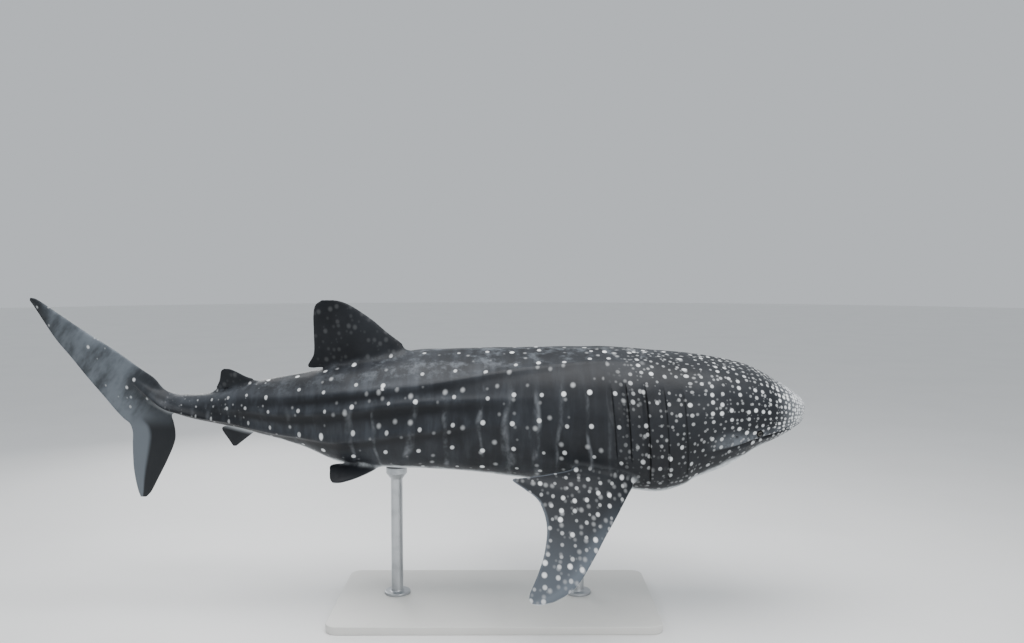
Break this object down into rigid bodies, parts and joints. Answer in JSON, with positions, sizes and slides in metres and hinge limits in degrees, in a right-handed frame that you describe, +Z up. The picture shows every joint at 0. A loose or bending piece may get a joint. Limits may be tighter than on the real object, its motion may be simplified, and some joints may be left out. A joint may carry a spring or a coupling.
{
  "type": "whale shark",
  "caption": "Life-size still whale shark, swimming level with its tail swung to the left, held over a flat display base by short rods",
  "frame": {"origin": "centre of the underside of the stand's base, on the floor", "axes": "+X towards the snout, +Z up, the right flank faces -Y"},
  "size_m": [6.0533, 2.6728, 2.3392],
  "materials": {
    "skin_body": "satin wet skin, dark slate with pale round spots and thin pale bars, white below",
    "skin_head": "satin skin, slate with dense small pale spots that close up to near white at the snout",
    "skin_fin": "satin skin, dark slate with pale spots, paler towards the paired fins' tips",
    "eye": "glossy, dark iris with a black pupil",
    "stand_paint": "pale satin paint",
    "rod_steel": "brushed"
  },
  "bodies": {
    "root": {"head_upper": "skin_head", "lower_jaw": "skin_head", "gill_region": "skin_body", "trunk_front": "skin_body", "trunk_middle": "skin_body", "trunk_rear": "skin_body", "tail_base": "skin_body", "caudal_peduncle": "skin_body", "dorsal_fin_first": "skin_fin", "dorsal_fin_second": "skin_fin", "anal_fin": "skin_fin", "caudal_lobe_upper": "skin_fin", "caudal_lobe_lower": "skin_fin", "pectoral_fin_right": "skin_fin", "pelvic_fin_right": "skin_fin", "eye_right": "eye", "nasal_barbel_right": "skin_head", "pectoral_fin_left": "skin_fin", "pelvic_fin_left": "skin_fin", "eye_left": "eye", "nasal_barbel_left": "skin_head", "stand_base": "stand_paint", "stand_rod_front": "rod_steel", "stand_rod_rear": "rod_steel"}
  },
  "joints": []
}
